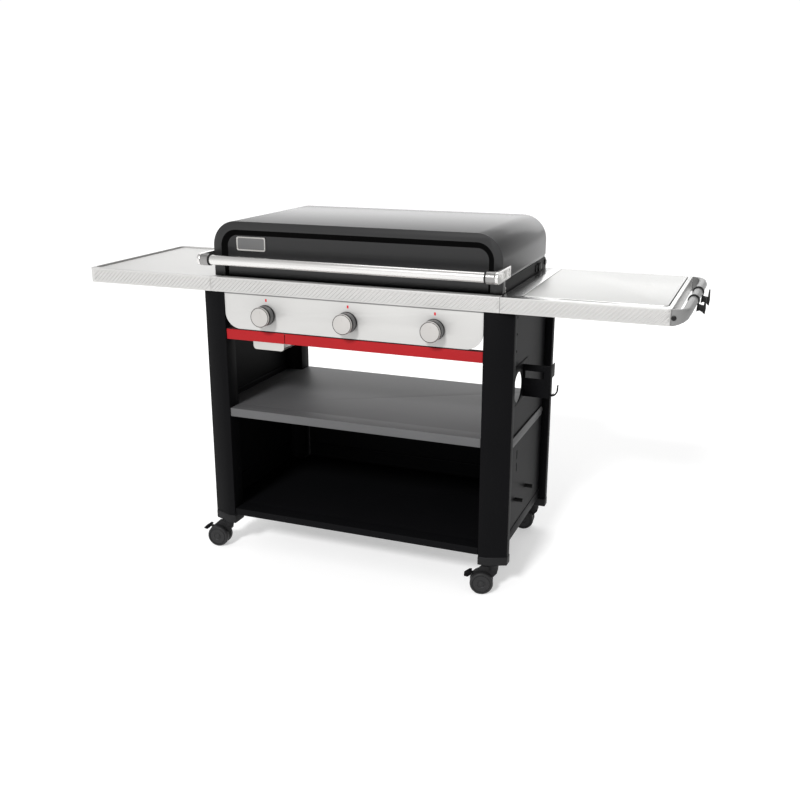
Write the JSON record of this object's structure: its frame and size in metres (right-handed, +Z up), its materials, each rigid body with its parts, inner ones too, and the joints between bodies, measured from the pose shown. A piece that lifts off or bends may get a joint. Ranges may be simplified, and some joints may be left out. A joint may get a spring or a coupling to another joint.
{
  "type": "gas griddle cart",
  "caption": "Flat-top gas griddle on a caster cart with hinged lid, burner knobs, grease drawer, shelves, side tables and a side rail with hooks.",
  "frame": {"origin": "on the floor under the centre of the bounding box", "axes": "+X to the user's right along the cart, +Y from the front to the back, +Z up"},
  "size_m": [1.966, 0.641, 1.115],
  "materials": {
    "black_paint": "satin black powder coat",
    "dark_shelf": "fine textured dark grey powder coat",
    "lid_enamel": "semi-gloss black enamel",
    "silver_paint": "satin light grey metallic paint",
    "red_paint": "satin red powder coat",
    "stainless": "brushed stainless steel",
    "plate_steel": "bare rolled carbon steel, oiled",
    "valve_brass": "machined brass",
    "grey_plastic": "dark grey moulded nylon",
    "black_rubber": "matte black rubber"
  },
  "bodies": {
    "cart": {"post_front_left": "black_paint", "post_front_right": "black_paint", "post_rear_left": "black_paint", "post_rear_right": "black_paint", "foot_cap_front_left": "grey_plastic", "foot_cap_front_right": "grey_plastic", "foot_cap_rear_left": "grey_plastic", "foot_cap_rear_right": "grey_plastic", "side_panel_left": "black_paint", "side_panel_right": "black_paint", "back_panel": "black_paint", "middle_shelf": "dark_shelf", "floor_tray": "black_paint", "cookbox": "black_paint", "burner_1": "stainless", "burner_2": "stainless", "burner_3": "stainless", "gas_manifold": "valve_brass", "front_rail_centre": "silver_paint", "control_panel": "silver_paint", "red_trim": "red_paint", "drawer_cradle": "black_paint", "table_left": "silver_paint", "table_right": "silver_paint", "side_rail": "silver_paint", "tank_bracket": "black_paint", "tank_peg_1": "black_rubber", "tank_peg_2": "black_rubber", "hinge_pin_left": "stainless", "hinge_pin_right": "stainless"},
    "lid": {"lid_shell": "lid_enamel", "lid_badge": "stainless", "lid_handle_bar": "stainless", "handle_bracket_left": "stainless", "handle_bracket_right": "stainless"},
    "griddle": {"griddle_plate": "plate_steel"},
    "board": {"prep_board": "stainless"},
    "drawer": {"drawer_front": "red_paint", "grease_pan": "stainless"},
    "valve_1": {"valve_stem_1": "valve_brass"},
    "valve_2": {"valve_stem_2": "valve_brass"},
    "valve_3": {"valve_stem_3": "valve_brass"},
    "dial_1": {"knob_1": "silver_paint"},
    "dial_2": {"knob_2": "silver_paint"},
    "dial_3": {"knob_3": "silver_paint"},
    "tool_hook_1": {"hook_1": "black_rubber"},
    "tool_hook_2": {"hook_2": "black_rubber"},
    "swivel_front_left": {"caster_hood_front_left": "grey_plastic"},
    "swivel_front_right": {"caster_hood_front_right": "grey_plastic"},
    "swivel_rear_left": {"caster_hood_rear_left": "grey_plastic"},
    "swivel_rear_right": {"caster_hood_rear_right": "grey_plastic"},
    "wheel_front_left": {"caster_wheel_front_left": "grey_plastic"},
    "wheel_front_right": {"caster_wheel_front_right": "grey_plastic"},
    "wheel_rear_left": {"caster_wheel_rear_left": "grey_plastic"},
    "wheel_rear_right": {"caster_wheel_rear_right": "grey_plastic"},
    "brake_front_left": {"caster_brake_front_left": "grey_plastic"},
    "brake_front_right": {"caster_brake_front_right": "grey_plastic"},
    "brake_rear_left": {"caster_brake_rear_left": "grey_plastic"},
    "brake_rear_right": {"caster_brake_rear_right": "grey_plastic"}
  },
  "joints": [
    {"name": "lid_hinge", "type": "hinge", "parent": "cart", "child": "lid", "pos_m": [-0.038, 0.2975, 0.96], "axis": [-1, 0, 0], "range_deg": [0, 95]},
    {"name": "griddle_lift", "type": "slide", "parent": "cart", "child": "griddle", "axis": [0, 0, 1], "range_m": [0, 0.085]},
    {"name": "board_lift", "type": "slide", "parent": "cart", "child": "board", "axis": [0, 0, 1], "range_m": [0, 0.06]},
    {"name": "drawer_slide", "type": "slide", "parent": "cart", "child": "drawer", "axis": [0, -1, 0], "range_m": [0, 0.15]},
    {"name": "valve_1_turn", "type": "hinge", "parent": "cart", "child": "valve_1", "pos_m": [-0.318, -0.2625, 0.8315], "axis": [0, -1, 0], "range_deg": [0, 150]},
    {"name": "valve_2_turn", "type": "hinge", "parent": "cart", "child": "valve_2", "pos_m": [-0.038, -0.2625, 0.8315], "axis": [0, -1, 0], "range_deg": [0, 150]},
    {"name": "valve_3_turn", "type": "hinge", "parent": "cart", "child": "valve_3", "pos_m": [0.242, -0.2625, 0.8315], "axis": [0, -1, 0], "range_deg": [0, 150]},
    {"name": "knob_1_push", "type": "slide", "parent": "valve_1", "child": "dial_1", "axis": [0, 1, 0], "range_m": [0, 0.0035], "stiffness_N_per_m": 1500, "springref_m": -0.002},
    {"name": "knob_2_push", "type": "slide", "parent": "valve_2", "child": "dial_2", "axis": [0, 1, 0], "range_m": [0, 0.0035], "stiffness_N_per_m": 1500, "springref_m": -0.002},
    {"name": "knob_3_push", "type": "slide", "parent": "valve_3", "child": "dial_3", "axis": [0, 1, 0], "range_m": [0, 0.0035], "stiffness_N_per_m": 1500, "springref_m": -0.002},
    {"name": "hook_1_slide", "type": "slide", "parent": "cart", "child": "tool_hook_1", "axis": [0, 1, 0], "range_m": [-0.115, 0.06]},
    {"name": "hook_2_slide", "type": "slide", "parent": "cart", "child": "tool_hook_2", "axis": [0, 1, 0], "range_m": [-0.06, 0.09]},
    {"name": "swivel_fl", "type": "hinge", "parent": "cart", "child": "swivel_front_left", "pos_m": [-0.51, -0.2325, 0.09], "axis": [0, 0, 1], "continuous": true},
    {"name": "swivel_fr", "type": "hinge", "parent": "cart", "child": "swivel_front_right", "pos_m": [0.434, -0.2325, 0.09], "axis": [0, 0, 1], "continuous": true},
    {"name": "swivel_rl", "type": "hinge", "parent": "cart", "child": "swivel_rear_left", "pos_m": [-0.51, 0.2905, 0.09], "axis": [0, 0, 1], "continuous": true},
    {"name": "swivel_rr", "type": "hinge", "parent": "cart", "child": "swivel_rear_right", "pos_m": [0.434, 0.2905, 0.09], "axis": [0, 0, 1], "continuous": true},
    {"name": "roll_fl", "type": "hinge", "parent": "swivel_front_left", "child": "wheel_front_left", "pos_m": [-0.5458, -0.23626, 0.0365], "axis": [0.1045, -0.9945, 0], "continuous": true},
    {"name": "roll_fr", "type": "hinge", "parent": "swivel_front_right", "child": "wheel_front_right", "pos_m": [0.3994, -0.24242, 0.0365], "axis": [0.2756, -0.9613, 0], "continuous": true},
    {"name": "roll_rl", "type": "hinge", "parent": "swivel_rear_left", "child": "wheel_rear_left", "pos_m": [-0.5458, 0.28674, 0.0365], "axis": [0.1045, -0.9945, 0], "continuous": true},
    {"name": "roll_rr", "type": "hinge", "parent": "swivel_rear_right", "child": "wheel_rear_right", "pos_m": [0.3982, 0.28674, 0.0365], "axis": [0.1045, -0.9945, 0], "continuous": true},
    {"name": "brake_fl", "type": "hinge", "parent": "swivel_front_left", "child": "brake_front_left", "pos_m": [-0.57962, -0.23982, 0.0665], "axis": [0.1045, -0.9945, 0], "range_deg": [0, 20]},
    {"name": "brake_fr", "type": "hinge", "parent": "swivel_front_right", "child": "brake_front_right", "pos_m": [0.36671, -0.25179, 0.0665], "axis": [0.2756, -0.9613, 0], "range_deg": [0, 20]},
    {"name": "brake_rl", "type": "hinge", "parent": "swivel_rear_left", "child": "brake_rear_left", "pos_m": [-0.57962, 0.28318, 0.0665], "axis": [0.1045, -0.9945, 0], "range_deg": [0, 20]},
    {"name": "brake_rr", "type": "hinge", "parent": "swivel_rear_right", "child": "brake_rear_right", "pos_m": [0.36438, 0.28318, 0.0665], "axis": [0.1045, -0.9945, 0], "range_deg": [0, 20]}
  ]
}
